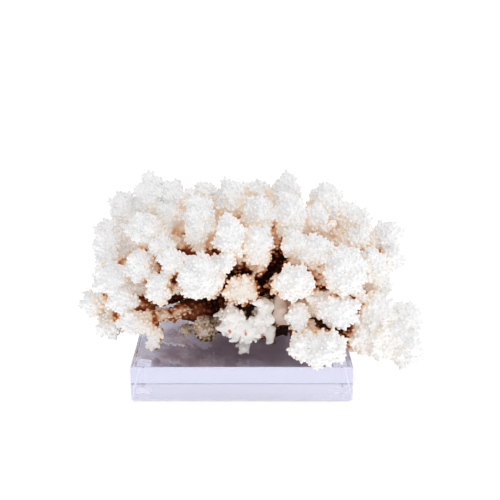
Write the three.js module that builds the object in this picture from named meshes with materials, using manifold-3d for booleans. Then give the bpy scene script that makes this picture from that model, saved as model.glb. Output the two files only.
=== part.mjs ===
// Branching reef coral standing on a clear acrylic display block.
// Millimetres, +Z up, +X to the viewer's right, +Y away from the viewer.
// The finished piece stands on z = 0 with the origin under the middle of its whole extent.
// Sizes below are measured from the centre of the block's underside.

import * as THREE from "three";
import { mergeVertices } from "three/addons/utils/BufferGeometryUtils.js";
import Module from "manifold-3d";

const wasm = await Module();
wasm.setup();

// Driving dimensions of the display block, cut from one inch acrylic sheet.
const BLOCK = { width: 156, depth: 140, height: 25.4, chamfer: 0.6 };

// Clear bumper pads stuck under the block near its four corners.
const PAD = { width: 10, length: 16, thickness: 1, round: 3, fromSide: 2, fromFront: 19 };

// The trunk the colony grew from, sawn flat where it stands on the block.
const TRUNK = { across: 8, back: 8, up: 15, halfWidth: 40, halfDepth: 33, halfHeight: 33, lump: 0.07 };

// Low swellings of the trunk to its left and right, written like the heads below.
const SWELLINGS = [[-33, -11, 22, 32, 20], [44, -18, 16, 34, 20]];

// Clearance left where one coral piece meets another.
const GAP = 0.5;

// A stem is thin where it leaves the trunk, swells to a club by a share of its length,
// and then keeps nearly the width of the head it carries.
const STEM = { root: 5, sides: 4, twigSides: 4, flare: 0.92, clubFrom: 0.6, club: 0.84 };

// Height of the point that all stems spread from, and how far along its stem a limb forks.
const SPREAD_UP = 28;
const FORK = 0.55;

// Heads closer to the first one than this share of their mean width grow straight out of it.
const TOUCH = 1.0;

// Slivers narrower than this are smoothed out of the finished limbs.
const SLIVER = 0.24;

// Knobs stand out of every head and the skin between them is drawn in.
const KNOB = { out: 1.16, between: 1.02, largeHead: 24.5 };

// Each limb is one fork of the colony and lists the heads it carries.
// A head is [across, back, up, width, height], its centre measured from the
// middle of the block's top face.
const LIMBS = {
  front_lowest: [[60, -74, 17, 24, 20], [43, -73, 17, 19, 17], [52, -79, 12, 19, 14]],
  front_right_rosette: [[37, -66, 61, 25, 22]],
  front_left_paddle: [[-29, -60, 63, 27, 30], [-11, -56, 73, 15, 14]],
  front_right_paddle: [[71, -54, 65, 29, 34], [79, -42, 44, 20, 16]],
  front_right_low: [[67, -61, 39, 26, 22], [53, -52, 46, 20, 14]],
  dead_fork: [[5, -50, 21, 24, 17], [-7, -50, 28, 16, 25], [16, -50, 32, 13, 27], [2, -47, 9, 10, 11],
    [20, -48, 17, 10, 12]],
  front_column: [[-8, -48, 88, 19, 30]],
  front_middle: [[11, -44, 81, 20, 28], [12, -34, 62, 15, 14]],
  front_right_inner: [[52, -48, 78, 23, 22], [37, -44, 82, 18, 18]],
  front_centre: [[-1, -46, 49, 27, 20]],
  front_low_stem: [[41, -60, 34, 15, 18]],
  bare_stem: [[27, -48, 35, 15, 26]],
  encrusted_stub: [[-27, -27, 13, 18, 21], [-42, -20, 9, 10, 10]],
  tall_left_column: [[-30, -30, 93, 19, 40]],
  upper_middle: [[12, -22, 95, 22, 32]],
  upper_right: [[34, -24, 96, 21, 34]],
  crown_left: [[-8, -2, 103, 19, 31], [-28, 6, 103, 14, 25]],
  crown_twin: [[5, 14, 108, 13, 13], [16, 14, 107, 14, 14]],
  crown_right: [[33, 2, 106, 18, 33]],
  left_fan: [[-98, -4, 69, 21, 38]],
  left_crown: [[-67, 5, 106, 20, 30], [-87, 10, 94, 22, 22], [-51, 0, 108, 16, 19], [-53, -12, 94, 14, 20]],
  left_shoulder: [[-70, -24, 88, 23, 20]],
  left_front_upper: [[-72, -38, 64, 19, 21], [-57, -36, 78, 19, 14]],
  left_front_inner: [[-48, -50, 71, 18, 18], [-58, -52, 52, 15, 23]],
  left_front_low: [[-75, -44, 24, 26, 15], [-63, -46, 14, 9, 20]],
  left_middle: [[-93, -28, 51, 26, 22], [-85, -38, 39, 21, 18]],
  left_low: [[-109, -20, 30, 19, 16], [-96, -26, 15, 22, 15]],
  right_crown: [[62, 4, 100, 22, 30], [54, -18, 94, 15, 20]],
  right_shoulder: [[86, 4, 88, 17, 16], [75, 2, 94, 14, 17], [85, -18, 79, 15, 15]],
  right_edge: [[108, 4, 74, 20, 22], [110, -8, 60, 18, 18]],
  right_side: [[93, -28, 62, 17, 25], [100, -22, 45, 17, 23]],
  right_low: [[98, -47, 13, 28, 28], [95, -43, 31, 26, 24], [117, -37, 24, 25, 21], [118, -45, 5, 24, 28],
    [83, -50, 16, 19, 22]],
  back_left_low: [[-92, 26, 22, 24, 18]],
  back_left_edge: [[-98, 30, 50, 20, 22], [-88, 42, 68, 18, 18]],
  back_left_shoulder: [[-70, 40, 86, 22, 22], [-54, 50, 74, 17, 18]],
  back_left_paddle: [[-64, 62, 54, 26, 24]],
  back_left_foot: [[-58, 66, 22, 27, 20], [-40, 72, 36, 18, 16]],
  back_crown_left: [[-44, 36, 93, 20, 20], [-32, 56, 82, 18, 18]],
  back_rosette_left: [[-26, 78, 54, 26, 22]],
  back_foot_middle: [[-12, 80, 22, 28, 22], [10, 76, 36, 18, 16]],
  back_crown_middle: [[-12, 36, 96, 18, 18], [0, 52, 90, 16, 18]],
  back_paddle: [[10, 74, 64, 24, 28]],
  back_crown_right: [[30, 34, 97, 18, 18], [38, 56, 84, 18, 18]],
  back_rosette_right: [[46, 76, 54, 26, 22]],
  back_foot_right: [[34, 80, 22, 28, 20]],
  back_right_crown: [[62, 36, 90, 22, 22], [58, 54, 74, 18, 18]],
  back_right_paddle: [[74, 62, 60, 24, 26]],
  back_right_shoulder: [[90, 34, 71, 20, 20], [102, 28, 52, 18, 18]],
  back_right_low: [[80, 60, 20, 28, 18]],
  right_back_low: [[100, 24, 28, 26, 18]],
};

// Colours and gloss read from the photograph.
const FINISH = {
  white: { color: 0xece8e0, roughness: 0.85 },
  bleached: { color: 0xe6ddd0, roughness: 0.8 },
  bare: { color: 0xb9a08c, roughness: 0.7 },
  encrusted: { color: 0x977c6e, roughness: 0.9 },
  stained: { color: 0x6a4534, roughness: 0.9 },
  acrylic: { color: 0xe4e4f2, roughness: 0.05 },
  pad: { color: 0xd4d4e2, roughness: 0.4 },
};

// Closed solid from a shape, with the seams of its skin joined.
function solid(geometry) {
  geometry.deleteAttribute("normal");
  geometry.deleteAttribute("uv");
  const welded = mergeVertices(geometry, 0.0001);
  const vertProperties = new Float32Array(welded.attributes.position.array);
  const triVerts = new Uint32Array(welded.index.array);
  return new wasm.Manifold(new wasm.Mesh({ numProp: 3, vertProperties, triVerts }));
}

// Shape that can be shown, from a closed solid.
function shape(body) {
  const mesh = body.getMesh();
  const geometry = new THREE.BufferGeometry();
  geometry.setAttribute("position", new THREE.BufferAttribute(mesh.vertProperties, 3));
  geometry.setIndex(new THREE.BufferAttribute(mesh.triVerts, 1));
  geometry.computeVertexNormals();
  return geometry;
}

// Point measured from the middle of the block's top face.
function onBlock(across, back, up) {
  return new THREE.Vector3(across, back, BLOCK.height + up);
}

// True for the twelve points of a lump where its knobs stand.
function isKnob(point) {
  const sizes = [Math.abs(point.x), Math.abs(point.y), Math.abs(point.z)];
  return Math.min(...sizes) < 0.01 && Math.max(...sizes) < 0.9;
}

// One knobbly head, turned its own way so that no two look alike.
function headSolid(head, turn, grow) {
  const [across, back, up, width, height] = head;
  const large = Math.min(width, height) > KNOB.largeHead;
  const geometry = large ? new THREE.IcosahedronGeometry(1, 1) : new THREE.OctahedronGeometry(1, 1);
  const points = geometry.attributes.position;
  const half = new THREE.Vector3(width / 2, (width + height) / 4, height / 2).addScalar(grow);
  const twist = new THREE.Euler(turn * 1.9, turn * 2.7, turn * 0.8);
  const point = new THREE.Vector3();
  for (let i = 0; i < points.count; i += 1) {
    point.fromBufferAttribute(points, i);
    const reach = isKnob(point) ? KNOB.out : KNOB.between;
    point.applyEuler(twist).multiplyScalar(reach).multiply(half).add(onBlock(across, back, up));
    points.setXYZ(i, point.x, point.y, point.z);
  }
  return solid(geometry);
}

// A round stem between two points, thin at its root and club-shaped towards its top.
function stemSolid(from, to, rootRadius, topRadius, sides) {
  const length = from.distanceTo(to);
  const aim = to.clone().sub(from).normalize();
  const turn = new THREE.Quaternion().setFromUnitVectors(new THREE.Vector3(0, 1, 0), aim);
  const geometry = new THREE.CylinderGeometry(topRadius, rootRadius, length, sides, 2);
  geometry.translate(0, length / 2, 0);
  const points = geometry.attributes.position;
  for (let i = 0; i < points.count; i += 1) {
    if (Math.abs(points.getY(i) - length / 2) < 0.001) {
      const swell = 2 * STEM.club * topRadius / (topRadius + rootRadius);
      points.setXYZ(i, points.getX(i) * swell, length * STEM.clubFrom, points.getZ(i) * swell);
    }
  }
  geometry.applyQuaternion(turn);
  geometry.translate(from.x, from.y, from.z);
  return solid(geometry);
}

// Radius of the stem where it runs into a head.
function neck(head) {
  return STEM.flare * Math.min(head[3], head[4]) / 2;
}

// A limb: a stem to its first head, and a twig forking off to each other head.
function limbSolid(heads, turn, grow) {
  const root = onBlock(TRUNK.across, TRUNK.back, SPREAD_UP);
  const tips = heads.map((head) => onBlock(head[0], head[1], head[2]));
  const fork = root.clone().lerp(tips[0], FORK);
  let limb = headSolid(heads[0], turn, grow);
  limb = limb.add(stemSolid(root, tips[0], STEM.root + grow, neck(heads[0]) + grow, STEM.sides));
  for (let i = 1; i < heads.length; i += 1) {
    limb = limb.add(headSolid(heads[i], turn + i * 1.3, grow));
    const touching = TOUCH * (heads[0][3] + heads[i][3]) / 2;
    if (tips[i].distanceTo(tips[0]) > touching) {
      limb = limb.add(stemSolid(fork, tips[i], STEM.root + grow, neck(heads[i]) + grow, STEM.twigSides));
    }
  }
  return limb;
}

// The lumpy trunk and its swellings, with everything below the saw cut taken off.
function trunkSolid(grow) {
  const geometry = new THREE.IcosahedronGeometry(1, 1);
  const points = geometry.attributes.position;
  const half = new THREE.Vector3(TRUNK.halfWidth, TRUNK.halfDepth, TRUNK.halfHeight);
  const middle = onBlock(TRUNK.across, TRUNK.back, TRUNK.up);
  const point = new THREE.Vector3();
  for (let i = 0; i < points.count; i += 1) {
    point.fromBufferAttribute(points, i);
    const lump = Math.sin(5 * point.x + 1) * Math.sin(6 * point.y) + Math.sin(7 * point.z);
    point.multiplyScalar(1 + TRUNK.lump * lump);
    point.multiply(half.clone().addScalar(grow)).add(middle);
    points.setXYZ(i, point.x, point.y, point.z);
  }
  const below = new THREE.BoxGeometry(300, 300, 100);
  below.translate(0, 0, BLOCK.height + GAP - grow - 50);
  let trunk = solid(geometry);
  SWELLINGS.forEach((swelling, index) => {
    trunk = trunk.add(headSolid(swelling, index, grow));
  });
  return trunk.subtract(solid(below));
}

// The acrylic block, chamfered round its top and bottom edges and its corners.
function blockGeometry() {
  const { width, depth, height, chamfer } = BLOCK;
  const x = width / 2 - chamfer;
  const y = depth / 2 - chamfer;
  const outline = new THREE.Shape();
  outline.moveTo(-x, -y);
  outline.lineTo(x, -y);
  outline.lineTo(x, y);
  outline.lineTo(-x, y);
  const geometry = new THREE.ExtrudeGeometry(outline, {
    depth: height - 2 * chamfer,
    bevelEnabled: true,
    bevelThickness: chamfer,
    bevelSize: chamfer,
    bevelSegments: 1,
  });
  geometry.translate(0, 0, chamfer);
  return geometry;
}

// One round-cornered bumper pad, its top stuck to the underside of the block.
function padGeometry(side, end) {
  const { width, length, thickness, round } = PAD;
  const x = width / 2;
  const y = length / 2;
  const outline = new THREE.Shape();
  outline.absarc(x - round, y - round, round, 0, Math.PI / 2, false);
  outline.absarc(round - x, y - round, round, Math.PI / 2, Math.PI, false);
  outline.absarc(round - x, round - y, round, Math.PI, Math.PI * 1.5, false);
  outline.absarc(x - round, round - y, round, Math.PI * 1.5, Math.PI * 2, false);
  const geometry = new THREE.ExtrudeGeometry(outline, {
    depth: thickness,
    bevelEnabled: false,
    curveSegments: 1,
  });
  const across = side * (BLOCK.width / 2 - PAD.fromSide - x);
  const back = end * (BLOCK.depth / 2 - PAD.fromFront - y);
  geometry.translate(across, back, -thickness);
  return geometry;
}

// Adds one named piece to the coral.
function addPiece(group, name, geometry, finish) {
  const material = new THREE.MeshStandardMaterial({ ...finish, metalness: 0 });
  const mesh = new THREE.Mesh(geometry, material);
  mesh.name = name;
  group.add(mesh);
}

// Finish of one limb, by what is left of its living skin.
function limbFinish(name) {
  const finishes = { dead_fork: FINISH.bleached, bare_stem: FINISH.bare, encrusted_stub: FINISH.encrusted };
  return finishes[name] ?? FINISH.white;
}

// Room for the block, so that no limb touches it.
function blockRoom() {
  const room = new THREE.BoxGeometry(BLOCK.width + 2 * GAP, BLOCK.depth + 2 * GAP, BLOCK.height + 2 * GAP);
  room.translate(0, 0, BLOCK.height / 2);
  return solid(room);
}

// Limbs are cut off at the trunk and at any limb already in place beside them.
function addLimbs(group) {
  const standRoom = trunkSolid(GAP).add(blockRoom());
  const taken = [];
  Object.entries(LIMBS).forEach(([name, heads], index) => {
    let limb = limbSolid(heads, index, 0).subtract(standRoom);
    taken.forEach((other) => {
      limb = limb.subtract(other);
    });
    const bodies = limb.simplify(SLIVER).decompose().sort((a, b) => b.volume() - a.volume());
    addPiece(group, name, shape(bodies[0]), limbFinish(name));
    taken.push(limbSolid(heads, index, GAP));
  });
}

const coral = new THREE.Group();
coral.name = "branching_coral_on_block";
addPiece(coral, "acrylic_block", shape(solid(blockGeometry())), FINISH.acrylic);
addPiece(coral, "pad_front_left", shape(solid(padGeometry(-1, -1))), FINISH.pad);
addPiece(coral, "pad_front_right", shape(solid(padGeometry(1, -1))), FINISH.pad);
addPiece(coral, "pad_back_left", shape(solid(padGeometry(-1, 1))), FINISH.pad);
addPiece(coral, "pad_back_right", shape(solid(padGeometry(1, 1))), FINISH.pad);
addPiece(coral, "trunk", shape(trunkSolid(0)), FINISH.stained);
addLimbs(coral);

// Everything is moved together so that it stands on z = 0 about the origin.
const extent = new THREE.Box3().setFromObject(coral);
const middle = extent.getCenter(new THREE.Vector3());
coral.children.forEach((piece) => piece.geometry.translate(-middle.x, -middle.y, -extent.min.z));

export default coral;
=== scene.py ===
# %% [markdown]
# # A branching coral on a clear block
# This lesson dresses the measured solids of a reef coral. The solids give every limb its
# place and bulk. Here each limb grows its lobes and warts, gets its stains and its painted
# shade, and the whole colony is set on its polished block and photographed.

# %% Load the measured solids
import math
import bmesh
import bpy
from mathutils import Matrix, Vector
from mathutils.bvhtree import BVHTree


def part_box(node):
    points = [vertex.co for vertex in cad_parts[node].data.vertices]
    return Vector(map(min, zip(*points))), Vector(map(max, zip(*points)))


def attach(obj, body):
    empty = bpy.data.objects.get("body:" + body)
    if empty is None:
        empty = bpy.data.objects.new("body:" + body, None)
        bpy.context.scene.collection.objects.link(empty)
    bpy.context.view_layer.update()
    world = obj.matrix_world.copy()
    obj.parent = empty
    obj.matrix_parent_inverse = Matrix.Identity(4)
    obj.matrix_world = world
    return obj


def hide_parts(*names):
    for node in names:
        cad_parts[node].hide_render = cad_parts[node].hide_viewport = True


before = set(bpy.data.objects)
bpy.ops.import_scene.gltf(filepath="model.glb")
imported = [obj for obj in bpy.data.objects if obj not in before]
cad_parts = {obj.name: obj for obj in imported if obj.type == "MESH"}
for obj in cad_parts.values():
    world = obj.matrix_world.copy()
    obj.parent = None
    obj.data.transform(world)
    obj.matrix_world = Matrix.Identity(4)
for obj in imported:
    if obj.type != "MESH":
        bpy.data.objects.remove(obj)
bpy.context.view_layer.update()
block_low, block_high = (Vector(corner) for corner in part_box("acrylic_block"))
BLOCK_HALF = (block_high - block_low) / 2
TOP = Vector(((block_low.x + block_high.x) / 2, (block_low.y + block_high.y) / 2, block_high.z))
print("solids:", len(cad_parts), "middle of the block's top:", TOP)

# %% [markdown]
# ## Sorting the pieces
# The block and its pads are made things. Everything else grew. The trunk is stained right
# through, the bare stem is worn smooth, and the dead fork and the crusted stub lost their
# living skin before the rest, so these four are finished differently.

# %% Sort the pieces
MADE = [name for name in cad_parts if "block" in name or name.startswith("pad_")]
SHARP = ["dead_fork", "encrusted_stub"]
ODD = ["trunk", *SHARP, "bare_stem"]
LIMBS = [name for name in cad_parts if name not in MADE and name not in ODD]
print("limbs:", len(LIMBS), "made pieces:", len(MADE))

# %% [markdown]
# ## A helper for building node trees
# Growth rules and finishes are both node trees. One helper sets a node's inputs and joins
# what feeds it, and one adds a node, so that each recipe below reads from top to bottom. The
# same trees could be drawn by hand in the editor, but a recipe in text can be repeated.

# %% Node helpers
def wire(tree, node, inputs):
    for key, value in inputs.items():
        if isinstance(value, bpy.types.NodeSocket):
            tree.links.new(value, node.inputs[key])
        else:
            node.inputs[key].default_value = value


def add(tree, kind, inputs=None, **settings):
    node = tree.nodes.new(kind)
    for key, value in settings.items():
        setattr(node, key, value)
    wire(tree, node, inputs or {})
    return node


def vector_math(tree, operation, *values):
    return add(tree, "ShaderNodeVectorMath", dict(enumerate(values)), operation=operation)


def fit(tree, value, start, stop, low=0.0, high=1.0, **settings):
    return add(tree, "ShaderNodeMapRange", {"Value": value, "From Min": start, "From Max": stop,
               "To Min": low, "To Max": high}, **settings).outputs["Result"]


print("helpers:", wire.__name__, add.__name__, vector_math.__name__, fit.__name__)

# %% [markdown]
# ## How far out a point is
# Coral lives on the outside. A point's place between the core and the skin of the colony
# decides how thickly it is covered and how stained it is. The colony is a low dome, so the
# distance is measured as a share of that dome's half sizes. Painting by hand would do the
# same, but it would have to be done again for every limb.

# %% Place in the colony
CORE = TOP + Vector((0.008, 0.005, 0.020))
DOME = (0.120, 0.080, 0.095)


def place_in_dome(tree, position, centre, half):
    away = vector_math(tree, "SUBTRACT", position, centre)
    share = vector_math(tree, "DIVIDE", away.outputs[0], half)
    return vector_math(tree, "LENGTH", share.outputs[0]).outputs["Value"]


print("core of the colony:", CORE)

# %% [markdown]
# ## One bud
# Lobes, warts and knobs are all rounded buds of different sizes. A bud is a coarse ball sunk
# a little into the skin. It carries a mark that runs from 0 at its foot to 1 at its tip,
# which the finish uses later to paint shade at the foot, between the buds, and keep the tips
# white. A sculpted bud would look no better at the size of a grain of rice.

# %% One bud
FOOT = -0.1


def bud(tree, sides, rings, sink):
    ball = add(tree, "GeometryNodeMeshUVSphere", {"Segments": sides, "Rings": rings, "Radius": 1.0})
    sunk = add(tree, "GeometryNodeTransform",
               {"Geometry": ball.outputs["Mesh"], "Translation": (0.0, 0.0, -sink)})
    position = add(tree, "GeometryNodeInputPosition").outputs[0]
    height = add(tree, "ShaderNodeSeparateXYZ", {0: position}).outputs["Z"]
    tip = fit(tree, height, FOOT, 1.0 - sink)
    return add(tree, "GeometryNodeStoreNamedAttribute",
               {"Geometry": sunk.outputs[0], "Name": "tip", "Value": tip},
               data_type="FLOAT", domain="POINT").outputs[0]


print("a bud's tip mark starts at", FOOT, "of its radius")

# %% [markdown]
# ## Which way a bud points
# Buds stand off the skin, turn outward to the light, and lean a little at random where they
# crowd each other. So the direction is the sum of those three, each with its own share. Buds
# set square to the skin alone would give every head the look of a bramble.

# %% Aim of a bud
def bud_turn(tree, normal, lift, lean, seed):
    jitter = add(tree, "FunctionNodeRandomValue",
                 {0: (-lean, -lean, -lean), 1: (lean, lean, lean), "Seed": seed},
                 data_type="FLOAT_VECTOR").outputs[0]
    spot = add(tree, "GeometryNodeInputPosition").outputs[0]
    away = vector_math(tree, "SUBTRACT", spot, CORE)
    outward = vector_math(tree, "NORMALIZE", away.outputs[0])
    raised = vector_math(tree, "MULTIPLY_ADD", outward.outputs[0], (lift, lift, lift), normal)
    aim = vector_math(tree, "ADD", raised.outputs[0], jitter)
    return add(tree, "FunctionNodeAlignRotationToVector", {"Vector": aim.outputs[0]}, axis="Z").outputs[0]


print("buds turn away from", CORE)

# %% [markdown]
# ## A growth rule
# Every kind of growth is the same act at another size: dots spread evenly over the skin, and
# a bud raised on each. Dots that keep their distance look grown, and plain random ones look
# sprinkled. The buds are made real at the end, so that the mesh can be exported.

# %% Growth rule
DOTS_PER_SPACING = 2.5


def growth(name, spacing, small, large, cover, sink, lift, lean, sides, rings, seed):
    tree = bpy.data.node_groups.new(name, "GeometryNodeTree")
    for way in ("INPUT", "OUTPUT"):
        tree.interface.new_socket("Geometry", in_out=way, socket_type="NodeSocketGeometry")
    skin = add(tree, "NodeGroupInput").outputs[0]
    dots = add(tree, "GeometryNodeDistributePointsOnFaces",
               {"Mesh": skin, "Distance Min": spacing, "Density Max": DOTS_PER_SPACING / spacing ** 2,
                "Density Factor": cover(tree), "Seed": seed}, distribute_method="POISSON")
    size = add(tree, "FunctionNodeRandomValue", {0: small, 1: large, "Seed": seed + 2},
               data_type="FLOAT_VECTOR")
    buds = add(tree, "GeometryNodeInstanceOnPoints",
               {"Points": dots.outputs["Points"], "Instance": bud(tree, sides, rings, sink),
                "Rotation": bud_turn(tree, dots.outputs["Normal"], lift, lean, seed + 1),
                "Scale": size.outputs[0]})
    real = add(tree, "GeometryNodeRealizeInstances", {0: buds.outputs[0]})
    both = add(tree, "GeometryNodeJoinGeometry")
    tree.links.new(skin, both.inputs[0])
    tree.links.new(real.outputs[0], both.inputs[0])
    smooth = add(tree, "GeometryNodeSetShadeSmooth", {"Geometry": both.outputs[0]})
    add(tree, "NodeGroupOutput", {0: smooth.outputs[0]})
    return tree


print("dots tried in a square of the spacing:", DOTS_PER_SPACING)

# %% [markdown]
# ## Lobes
# The heads of the limbs swell into lobes, and the stems near the core stay plain. So lobes
# are allowed only in the outer part of the dome, with a soft border. A displacement by noise
# would also make lumps, but they would be as deep on the stems and would never overhang.

# %% Lobes
LOBES_FROM = (0.50, 0.66)


def outer_part(tree):
    position = add(tree, "GeometryNodeInputPosition").outputs[0]
    return fit(tree, place_in_dome(tree, position, CORE, DOME), *LOBES_FROM,
               interpolation_type="SMOOTHSTEP")


LOBES = growth("lobes", spacing=0.0078, small=(0.0032, 0.0032, 0.0042), large=(0.0044, 0.0044, 0.0068),
               cover=outer_part, sink=0.2, lift=0.8, lean=0.2, sides=8, rings=6, seed=3)
print("rule:", LOBES.name, "with", len(LOBES.nodes), "nodes")

# %% [markdown]
# ## Warts, knobs, prongs and pebbles
# Warts cover all the skin that gets light. The trunk has low uneven knobs, the dead fork has
# longer broken prongs, and the crust on the stub is a layer of small flat pebbles. They differ
# only in size, reach and lean, so one rule with other values makes them all.

# %% Warts, knobs, prongs and pebbles
LIGHT_FROM = (0.03, 0.14)


def open_part(tree):
    light = add(tree, "GeometryNodeInputNamedAttribute", {"Name": "open"}, data_type="FLOAT")
    return fit(tree, light.outputs[0], *LIGHT_FROM, interpolation_type="SMOOTHSTEP")


WARTS = growth("warts", spacing=0.0029, small=(0.0012, 0.0012, 0.0018), large=(0.0016, 0.0016, 0.0028),
               cover=open_part, sink=0.15, lift=0.8, lean=0.2, sides=7, rings=5, seed=7)
PEBBLES = growth("pebbles", spacing=0.0024, small=(0.0010, 0.0010, 0.0008), large=(0.0019, 0.0019, 0.0015),
                 cover=open_part, sink=0.1, lift=0.0, lean=0.2, sides=6, rings=4, seed=11)
KNOBS = growth("knobs", spacing=0.0034, small=(0.0008, 0.0008, 0.0006), large=(0.0026, 0.0026, 0.0030),
               cover=open_part, sink=0.2, lift=0.2, lean=0.8, sides=7, rings=5, seed=13)
PRONGS = growth("prongs", spacing=0.0046, small=(0.0013, 0.0013, 0.0022), large=(0.0022, 0.0022, 0.0044),
                cover=open_part, sink=0.2, lift=0.3, lean=0.5, sides=6, rings=5, seed=17)
print("rules:", [rule.name for rule in (WARTS, PEBBLES, KNOBS, PRONGS)])

# %% [markdown]
# ## Working on a copy
# The measured solid stays as it is. Its copy has the seams joined, because a skin with open
# seams can't be smoothed. Modifiers then do the shaping, and their result is kept as a plain
# mesh.

# %% Working on a copy
SEAM = 0.00001


def copy_solid(name):
    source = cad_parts[name]
    mesh = bpy.data.meshes.new(name + "_grown")
    shape = bmesh.new()
    shape.from_mesh(source.data)
    shape.transform(source.matrix_world)
    bmesh.ops.remove_doubles(shape, verts=shape.verts, dist=SEAM)
    shape.to_mesh(mesh)
    shape.free()
    piece = bpy.data.objects.new(name + "_grown", mesh)
    bpy.context.scene.collection.objects.link(piece)
    return piece


def steps(piece, *modifiers):
    for kind, settings in modifiers:
        made = piece.modifiers.new(kind.lower(), kind)
        for key, value in settings.items():
            setattr(made, key, value)


def bake(piece):
    graph = bpy.context.evaluated_depsgraph_get()
    mesh = bpy.data.meshes.new_from_object(piece.evaluated_get(graph))
    old = piece.data
    piece.modifiers.clear()
    piece.data = mesh
    bpy.data.meshes.remove(old)
    return piece


print("seams closer than", SEAM, "m are joined")

# %% [markdown]
# ## Rounding a limb and raising its lobes
# A remesh turns the flat facets into an even skin, smoothing rounds it, and the skin is drawn
# in a little to make room for what grows on it. Lobes are raised and melted in by a second
# remesh. The dead fork and the stub are broken rather than worn, so they get a finer skin
# and less smoothing.

# %% Rounding a limb and raising its lobes
ROOM = 0.0006
MELT = 2
EASE = 0.5


def round_off(piece, grain, worn):
    steps(piece,
          ("REMESH", {"mode": "VOXEL", "voxel_size": grain}),
          ("SMOOTH", {"factor": EASE, "iterations": worn}),
          ("DISPLACE", {"strength": -ROOM, "mid_level": 0.0}),
          ("NODES", {"node_group": LOBES}),
          ("REMESH", {"mode": "VOXEL", "voxel_size": grain}),
          ("SMOOTH", {"factor": EASE, "iterations": MELT}))
    return bake(piece)


grown = {name: round_off(copy_solid(name), grain=0.0016, worn=12)
         for name in LIMBS + ["trunk", "bare_stem"]}
grown |= {name: round_off(copy_solid(name), grain=0.0011, worn=4) for name in SHARP}
print("skin points:", sum(len(piece.data.vertices) for piece in grown.values()))

# %% [markdown]
# ## The sky over the colony
# Rust settles in shut-in seams where water stood still, and shut-in spots also get painted
# shade, while warts only grow where there is light. All follow how much open sky a spot sees.
# Lines sent out evenly in all directions can measure that, and the whole colony and its block
# are gathered into one search tree for them to meet.

# %% The sky over the colony
DIRECTIONS = 26


def even_directions(count):
    turn = math.pi * (3.0 - math.sqrt(5.0))
    for i in range(count):
        z = 1.0 - 2.0 * (i + 0.5) / count
        flat = math.sqrt(1.0 - z * z)
        yield Vector((flat * math.cos(turn * i), flat * math.sin(turn * i), z))


def whole_colony(pieces):
    points = []
    faces = []
    for piece in pieces:
        first = len(points)
        points += [v.co.copy() for v in piece.data.vertices]
        faces += [[first + i for i in p.vertices] for p in piece.data.polygons]
    return BVHTree.FromPolygons(points, faces)


block = copy_solid("acrylic_block")
colony = whole_colony([*grown.values(), block])
sky = list(even_directions(DIRECTIONS))
print("directions:", len(sky))

# %% [markdown]
# ## How open each spot is
# From each point of the skin, the share of lines that meet no other coral is kept as a mark
# on the mesh. Lines straight off the skin count more than slanting ones. The shader has an
# occlusion node for this, but a mark on the mesh also steers growth.

# %% How open each spot is
FAR = 0.07
OFF_SKIN = 0.0006
GRAZING = 0.1


def mark_open(piece, tree, directions):
    values = []
    for v in piece.data.vertices:
        start = v.co + v.normal * OFF_SKIN
        seen = 0.0
        tried = 0.0
        for direction in directions:
            facing = direction.dot(v.normal)
            if facing > GRAZING:
                tried += facing
                if tree.ray_cast(start, direction, FAR)[0] is None:
                    seen += facing
        values.append(seen / tried)
    mark = piece.data.attributes.new("open", "FLOAT", "POINT")
    mark.data.foreach_set("value", values)
    return values


opened = []
for piece in grown.values():
    opened += mark_open(piece, colony, sky)
print("mean open sky: %.2f" % (sum(opened) / len(opened)))

# %% [markdown]
# ## Raising the warts
# Warts come last and stay unmelted, because crisp warts are what makes this kind of coral
# sparkle. The bare stem was worn smooth and gets none. Modelled warts cost many triangles,
# but a bump map would leave the outline of every head smooth.

# %% Raise the warts
RULES = {"trunk": KNOBS, "dead_fork": PRONGS, "encrusted_stub": PEBBLES}
for name in [*LIMBS, *RULES]:
    steps(grown[name], ("NODES", {"node_group": RULES.get(name, WARTS)}))
    bake(grown[name])
triangles = [sum(len(p.vertices) - 2 for p in piece.data.polygons) for piece in grown.values()]
print("triangles:", sum(triangles), "most in one:", max(triangles))

# %% [markdown]
# ## Helpers for finishes
# A finish is worked out as one number for each spot, by adding up shares, and a band of
# colours then turns the number into paint.

# %% Helpers for finishes
def new_finish(name):
    material = bpy.data.materials.new(name)
    material.use_nodes = True
    return material, material.node_tree, material.node_tree.nodes["Principled BSDF"]


def ramp(tree, value, stops):
    node = add(tree, "ShaderNodeValToRGB", {"Fac": value})
    band = node.color_ramp
    while len(band.elements) < len(stops):
        band.elements.new(1.0)
    for element, (place, colour) in zip(band.elements, stops):
        element.position = place
        element.color = (*colour, 1.0)
    return node.outputs["Color"]


def total(tree, value, by, plus):
    return add(tree, "ShaderNodeMath", {0: value, 1: by, 2: plus}, operation="MULTIPLY_ADD").outputs[0]


def noise(tree, spot, scale, detail=2.0):
    return add(tree, "ShaderNodeTexNoise", {"Vector": spot, "Scale": scale, "Detail": detail}).outputs["Fac"]


print("helpers:", new_finish.__name__, ramp.__name__, total.__name__, noise.__name__)

# %% [markdown]
# ## How clean a spot is, with painted shade
# Clean skeleton is white. Brown stains gather deep between the stems, rust runs in the seams of
# the lower half, and patches of cream lie low down. Undersides near the core are darker, partly
# by stain and partly as painted shade, and shut-in spots and the feet of warts get painted shade.
# So the value rises with the distance from the core, with open sky and towards wart tips, is
# broken up by noise, and then loses what stain, shade, rust and cream take away. Each pair of
# values below says where such an effect starts and where it is full.

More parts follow.
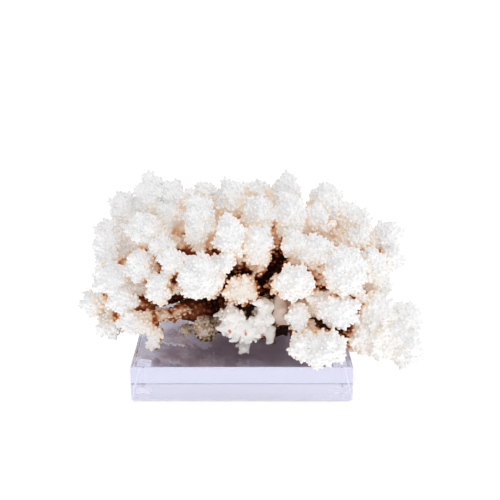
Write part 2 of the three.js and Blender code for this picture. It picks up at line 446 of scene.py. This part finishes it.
# %% How clean a spot is, with painted shade
STAIN = TOP + Vector((0.010, 0.0, 0.026))
REACH = (0.105, 0.095, 0.085)
PLACE_SHARE = 0.64
OPEN_SKY_SHADE_SHARE = 0.42
CLOUD_SCALE = 70.0
CLOUDING = 0.22
UNDERSIDE_DARK_PLACE = (0.95, 0.55)
UNDERSIDE = (-0.2, -0.9)
UNDERSIDE_STAIN_AND_SHADE = 0.30
DROP_SCALE = 28.0
SEAM_SKY = (0.46, 0.12)
RUST_DROPS = (0.42, 0.60)
RUST_LINE = (TOP.z + 0.085, TOP.z + 0.055)
RUSTING = 0.30
CREAM_DROPS = (0.44, 0.60)
CREAM_LINE = (TOP.z + 0.075, TOP.z + 0.040)


def cleanness_and_light(tree, spot, sky_seen, tip, tip_shade_share, cream):
    place = place_in_dome(tree, spot, STAIN, REACH)
    height = add(tree, "ShaderNodeSeparateXYZ", {0: spot}).outputs["Z"]
    normal = add(tree, "ShaderNodeNewGeometry").outputs["Normal"]
    facing = add(tree, "ShaderNodeSeparateXYZ", {0: normal}).outputs["Z"]
    cloud = noise(tree, spot, CLOUD_SCALE, detail=3.0)
    drops = noise(tree, spot, DROP_SCALE, detail=1.0)
    clean_and_lit = total(tree, place, PLACE_SHARE, fit(tree, cloud, 0.0, 1.0, -CLOUDING, CLOUDING))
    # Open sky lightens the colour: painted shade in shut-in spots.
    clean_and_lit = total(tree, sky_seen, OPEN_SKY_SHADE_SHARE, clean_and_lit)
    # Wart tips lighter than their feet: painted shade between the warts.
    clean_and_lit = total(tree, tip, tip_shade_share, clean_and_lit)
    # Downward faces near the core darken: partly stain, partly painted shade.
    stain_and_shade_below = fit(tree, place, *UNDERSIDE_DARK_PLACE, 0.0, -UNDERSIDE_STAIN_AND_SHADE)
    clean_and_lit = total(tree, fit(tree, facing, *UNDERSIDE), stain_and_shade_below, clean_and_lit)
    seam = total(tree, fit(tree, sky_seen, *SEAM_SKY), fit(tree, drops, *RUST_DROPS), 0.0)
    clean_and_lit = total(tree, seam, fit(tree, height, *RUST_LINE, 0.0, -RUSTING), clean_and_lit)
    low_down = fit(tree, height, *CREAM_LINE, 0.0, -cream)
    return total(tree, fit(tree, drops, *CREAM_DROPS), low_down, clean_and_lit)


print("stain spreads from", STAIN)

# %% [markdown]
# ## Mottling and smudges
# Crust is a patchwork of small growths, each of its own shade, which a cell pattern gives. A
# few red smudges sit on the dead fork. Each is a small soft-edged spot listed one by one, because
# spots strewn at random came out as a pattern.

# %% Mottling and smudges
CELLS = 480.0
SMUDGE_GRAIN = 700.0
SMUDGE_RAGGED = 1.6
SMUDGE_EDGE = (1.9, 1.5)


def mottled(tree, spot, clean_and_lit, mottle):
    cells = add(tree, "ShaderNodeTexVoronoi", {"Vector": spot, "Scale": CELLS})
    pick = add(tree, "ShaderNodeSeparateColor", {0: cells.outputs["Color"]}).outputs["Red"]
    return total(tree, fit(tree, pick, 0.0, 1.0, -1.0, 1.0), mottle, clean_and_lit)


def smudged(tree, spot, colour, centre, half, paint):
    place = place_in_dome(tree, spot, TOP + Vector(centre), half)
    mask = fit(tree, total(tree, noise(tree, spot, SMUDGE_GRAIN), SMUDGE_RAGGED, place), *SMUDGE_EDGE)
    return add(tree, "ShaderNodeMix", {0: mask, 6: colour, 7: (*paint, 1.0)}, data_type="RGBA").outputs[2]


print("cells across a centimetre:", CELLS / 100)

# %% [markdown]
# ## The coral finish
# Skeleton is chalky: rough, hardly shiny and finely grained. It also lets a little light
# through, so shut-in spots glow faintly in their own colour. True scattering in so many
# warts gave coloured specks, and this faint glow doesn't.

# %% The coral finish
GRAIN_SCALE = 1400.0
GRAIN_DEPTH = 0.0004
GLOW_BELOW = 0.7


def coral_finish(name, stops, glow, mottle=0.0, marks=(), tip_shade_share=0.12, cream=0.0):
    material, tree, surface = new_finish(name)
    spot = add(tree, "ShaderNodeTexCoord").outputs["Object"]
    sky_seen = add(tree, "ShaderNodeAttribute", attribute_name="open").outputs["Fac"]
    tip = add(tree, "ShaderNodeAttribute", attribute_name="tip").outputs["Fac"]
    clean_and_lit = cleanness_and_light(tree, spot, sky_seen, tip, tip_shade_share, cream)
    if mottle:
        clean_and_lit = mottled(tree, spot, clean_and_lit, mottle)
    colour = ramp(tree, clean_and_lit, stops)
    for mark in marks:
        colour = smudged(tree, spot, colour, *mark)
    bump = add(tree, "ShaderNodeBump", {"Height": noise(tree, spot, GRAIN_SCALE), "Strength": 0.35,
               "Distance": GRAIN_DEPTH})
    wire(tree, surface, {"Base Color": colour, "Emission Color": colour,
                         "Emission Strength": fit(tree, sky_seen, GLOW_BELOW, 0.0, 0.0, glow),
                         "Normal": bump.outputs[0], "Roughness": 0.85, "Specular IOR Level": 0.25})
    return material


print("recipe:", coral_finish.__name__, "with a grain", GRAIN_DEPTH, "m deep")

# %% [markdown]
# ## White limbs
# From stained and shaded to clean, the skeleton goes through near black, rust and peach to a warm white, so
# the band paints shade as well as stain.
# Two young heads low on the right have kept cleaner than their place would give, so their
# colours come earlier on a shorter band. Plain white paint would hide how the stain creeps out.

# %% White limbs
SKELETON = [
    (0.08, (0.022, 0.004, 0.002)), (0.24, (0.210, 0.038, 0.010)), (0.36, (0.500, 0.150, 0.037)),
    (0.45, (0.820, 0.520, 0.300)), (0.62, (0.940, 0.840, 0.730)), (0.84, (0.945, 0.915, 0.875)),
    (0.98, (0.935, 0.930, 0.928))]
EARLIER = 0.06
SHORTER = 0.18
CLEANER = [(place - EARLIER - SHORTER * place, colour) for place, colour in SKELETON]
WHITE = coral_finish("coral_white", SKELETON, glow=0.16, tip_shade_share=0.16, cream=0.22)
YOUNG = coral_finish("coral_young", CLEANER, glow=0.16, tip_shade_share=0.16)
print("finishes:", WHITE.name, YOUNG.name)

# %% [markdown]
# ## Stained and shaded trunk
# The trunk sat longest in standing water. It is peat brown all over, and its band runs on to
# near black as painted shade for the shut-in core. The tips of its knobs are lighter, with
# painted shade at their feet. The same recipe does it with a brown band, and here the tips
# weigh more.

# %% Stained and shaded trunk
DARK = coral_finish("coral_stained", [
    (0.16, (0.016, 0.004, 0.002)), (0.38, (0.120, 0.023, 0.007)), (0.60, (0.320, 0.085, 0.027)),
    (0.85, (0.500, 0.210, 0.100))], glow=0.12, tip_shade_share=0.26)
print("finish:", DARK.name)

# %% [markdown]
# ## Bare stem and crusted stub
# The bare stem is plain tan, only lightly mottled. The stub is overgrown with crust in many
# shades of tan and grey, so its mottling is much stronger. Cells suit crust better than noise,
# because every growth has one shade and a border.

# %% Bare stem and crusted stub
BARE = coral_finish("coral_bare", [
    (0.17, (0.220, 0.100, 0.050)), (0.31, (0.520, 0.370, 0.280)), (0.51, (0.680, 0.560, 0.480))],
    glow=0.10, mottle=0.10)
CRUST = coral_finish("coral_encrusted", [
    (0.08, (0.120, 0.050, 0.020)), (0.26, (0.430, 0.260, 0.150)), (0.45, (0.640, 0.480, 0.340)),
    (0.72, (0.820, 0.730, 0.630))], glow=0.14, mottle=0.28)
print("finishes:", BARE.name, CRUST.name)

# %% [markdown]
# ## Bleached dead fork
# The dead fork is bleached almost white though it stands near the stained core, so its band
# of colours reaches white early. Its three red smudges are given by place and half size, and
# reach right through the fork from front to back.

# %% Bleached dead fork
RED = (0.72, 0.25, 0.18)
RIGHT_THROUGH = 1.0
SMUDGES = [
    ((-0.0085, 0.0, 0.0220), (0.0013, RIGHT_THROUGH, 0.0019), RED),
    ((0.0029, 0.0, 0.0214), (0.0009, RIGHT_THROUGH, 0.0022), RED),
    ((0.0143, 0.0, 0.0193), (0.0010, RIGHT_THROUGH, 0.0012), RED)]
DEAD = coral_finish("coral_bleached", [
    (0.17, (0.120, 0.050, 0.030)), (0.26, (0.560, 0.390, 0.280)), (0.36, (0.860, 0.790, 0.710)),
    (0.53, (0.905, 0.890, 0.870))], glow=0.04, marks=SMUDGES)
print("finish:", DEAD.name, "with", len(SMUDGES), "smudges")

# %% [markdown]
# ## Giving out the finishes
# Each grown piece takes one finish. All limbs are white unless they are named here. A short
# list of exceptions is easier to check than a long list of everything.

# %% Give out the finishes
SPECIAL = {"trunk": DARK, "encrusted_stub": CRUST, "dead_fork": DEAD, "bare_stem": BARE,
           "front_low_stem": YOUNG, "front_right_low": YOUNG}
for name, piece in grown.items():
    piece.data.materials.clear()
    piece.data.materials.append(SPECIAL.get(name, WHITE))
print("finished:", len(grown))

# %% [markdown]
# ## Clear acrylic
# Cast acrylic is water clear with a faint lilac cast through its thickness. Light bends in
# it, so its far faces show doubled through the front. Transmission and the bending power of
# acrylic give all of that without any painting.

# %% Clear acrylic
ACRYLIC, tree, surface = new_finish("acrylic")
wire(tree, surface, {"Base Color": (0.52, 0.52, 0.635, 1.0), "Roughness": 0.0, "IOR": 1.49,
                     "Transmission Weight": 1.0})
print("finish:", ACRYLIC.name)

# %% [markdown]
# ## Milky pads
# The pads under the corners are soft clear gel. Pressed against the block they show as pale
# rippled patches that catch the light. A second clear solid so close to the first would be
# lost in it, so the pads are milky, with wavy bands and a glow that stands for that light.

# %% Milky pads
PADS, tree, surface = new_finish("pad_clear")
bed = add(tree, "ShaderNodeTexCoord").outputs["Object"]
ripple = add(tree, "ShaderNodeTexWave", {"Vector": bed, "Scale": 120.0, "Distortion": 9.0, "Detail": 2.0},
             bands_direction="Y").outputs["Fac"]
milk = ramp(tree, ripple, [
    (0.0, (0.62, 0.62, 0.76)), (0.5, (0.86, 0.86, 0.95)), (1.0, (1.0, 1.0, 1.0))])
wire(tree, surface, {"Base Color": milk, "Emission Color": milk, "Emission Strength": 0.9,
                     "Roughness": 0.4})
print("finish:", PADS.name)

# %% [markdown]
# ## The stand
# The block and its pads are sharp made things, so they keep their measured shape. Only the
# upper face of each pad is pressed up against the block, which closes the hairline of air.

# %% The stand
HALF_UP = 0.0005
PRESSED = 0.0002
for name in MADE:
    piece = block if "block" in name else copy_solid(name)
    piece.data.materials.clear()
    piece.data.materials.append(ACRYLIC if "block" in name else PADS)
    grown[name] = piece
    if name.startswith("pad_"):
        for v in piece.data.vertices:
            if v.co.z > HALF_UP:
                v.co.z += PRESSED
print("pieces in all:", len(grown))

# %% [markdown]
# ## Joining the frame
# Every finished piece stands for its solid and moves with the one body of the part.

# %% Join the frame
for name, piece in grown.items():
    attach(piece, "root")
    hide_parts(name)

# %% [markdown]
# ## Studio sheets
# The coral was photographed on white paper in front of a white wall. Both are plain large
# sheets here, wide enough for the camera never to see their edges. One bent sheet would do as
# well, but two can be lit apart.

# %% Studio sheets
def sheet(name, half, turn, place, finish):
    shape = bmesh.new()
    bmesh.ops.create_grid(shape, x_segments=1, y_segments=1, size=half)
    bmesh.ops.rotate(shape, verts=shape.verts, cent=(0, 0, 0), matrix=Matrix.Rotation(turn, 3, "X"))
    bmesh.ops.translate(shape, verts=shape.verts, vec=place)
    mesh = bpy.data.meshes.new(name)
    shape.to_mesh(mesh)
    shape.free()
    mesh.materials.append(finish)
    made = bpy.data.objects.new(name, mesh)
    bpy.context.scene.collection.objects.link(made)
    return made


print("helper:", sheet.__name__)

# %% [markdown]
# ## The floor
# The paper is white. Under the block its glow is cut to a painted shadow, clouded and brown as a
# painted reflection of the coral's dark underside, and it clears towards the block's edges. How far
# out a spot is under the block is measured as the larger of its two shares of the block's half
# sizes, which gives a box.

# %% The floor
FLOOR_HALF = 6.0
FLOOR_CLOUDS = 45.0
CLOUD_RANGE = (0.35, 0.65)
CLOUD_DEPTH = 0.25
CLEARING = (1.0, 0.8)
DARK_TO_WHITE = (0.3, 1.0)
PAPER, tree, surface = new_finish("paper")
ground = add(tree, "ShaderNodeTexCoord").outputs["Object"]
share = vector_math(tree, "DIVIDE", ground, (BLOCK_HALF.x, BLOCK_HALF.y, 1.0))
sides = add(tree, "ShaderNodeSeparateXYZ", {0: vector_math(tree, "ABSOLUTE", share.outputs[0]).outputs[0]})
under = add(tree, "ShaderNodeMath", {0: sides.outputs["X"], 1: sides.outputs["Y"]},
            operation="MAXIMUM").outputs[0]
cloud = fit(tree, noise(tree, ground, FLOOR_CLOUDS), *CLOUD_RANGE, -CLOUD_DEPTH, CLOUD_DEPTH)
# Painted shadow under the block, tinted brown as a painted reflection of the coral's underside.
shade = total(tree, cloud, fit(tree, under, *CLEARING), fit(tree, under, *DARK_TO_WHITE))
painted_shadow = ramp(tree, shade, [
    (0.0, (0.13, 0.070, 0.058)), (0.65, (0.30, 0.237, 0.228)), (1.0, (0.50, 0.50, 0.50))])
wire(tree, surface, {"Base Color": (0.93, 0.93, 0.93, 1.0), "Roughness": 0.9,
                     "Emission Color": painted_shadow, "Emission Strength": 1.0})
floor = sheet("floor", FLOOR_HALF, 0.0, (0.0, 0.0, 0.0), PAPER)
print("floor:", 2 * FLOOR_HALF, "m wide")

# %% [markdown]
# ## The backdrop
# A lit sheet far behind keeps the background pure white and gives the acrylic something
# bright to show.

# %% The backdrop
WALL_HALF = 4.0
WALL_BACK = 3.0
LIT_PAPER, tree, surface = new_finish("lit_paper")
wire(tree, surface, {"Base Color": (0.9, 0.9, 0.9, 1.0), "Emission Color": (1.0, 1.0, 1.0, 1.0),
                     "Emission Strength": 0.6})
backdrop = sheet("backdrop", WALL_HALF, math.pi / 2, (0.0, WALL_BACK, 0.0), LIT_PAPER)
print("backdrop:", WALL_BACK, "m behind")

# %% [markdown]
# ## The lights
# Broad soft light comes from above, and a faintly warm softbox at the right and front gives
# the heads their shaded sides. The rest of the room fills in with a faintly cool white.

# %% The lights
AIM = Vector((0.0, 0.0, 0.08))


def studio_light(name, size, power, colour, place):
    lamp = bpy.data.lights.new(name, "AREA")
    lamp.size = size
    lamp.energy = power
    lamp.color = colour
    holder = bpy.data.objects.new(name, lamp)
    holder.location = place
    holder.rotation_euler = (AIM - Vector(place)).to_track_quat("-Z", "Y").to_euler()
    bpy.context.scene.collection.objects.link(holder)


studio_light("key", size=1.0, power=3.4, colour=(1.0, 0.99, 0.95), place=(0.95, -0.85, 1.0))
studio_light("overhead", size=1.4, power=3.8, colour=(1.0, 1.0, 1.0), place=(0.1, 0.1, 1.5))
world = bpy.data.worlds.new("studio")
world.use_nodes = True
room = world.node_tree.nodes["Background"]
wire(world.node_tree, room, {"Color": (0.978, 0.975, 0.992, 1.0), "Strength": 0.685})
bpy.context.scene.world = world
bpy.context.scene.view_settings.view_transform = "Standard"
print("lights:", [lamp.name for lamp in bpy.data.lights])

# %% [markdown]
# ## The camera
# The photograph was taken from the front and a little above, with a longish lens. The place
# and the tilt were worked out from the corners of the block.

# %% The camera
FROM_TOP = Vector((0.0058, -0.783, 0.2953))
TILT_DOWN = 16.4
lens = bpy.data.cameras.new("camera")
lens.lens = 79.0
lens.sensor_width = 36.0
camera = bpy.data.objects.new("camera", lens)
camera.location = TOP + FROM_TOP
camera.rotation_euler = (math.radians(90.0 - TILT_DOWN), 0.0, 0.0)
bpy.context.scene.collection.objects.link(camera)
bpy.context.scene.camera = camera
print("camera at", camera.location)
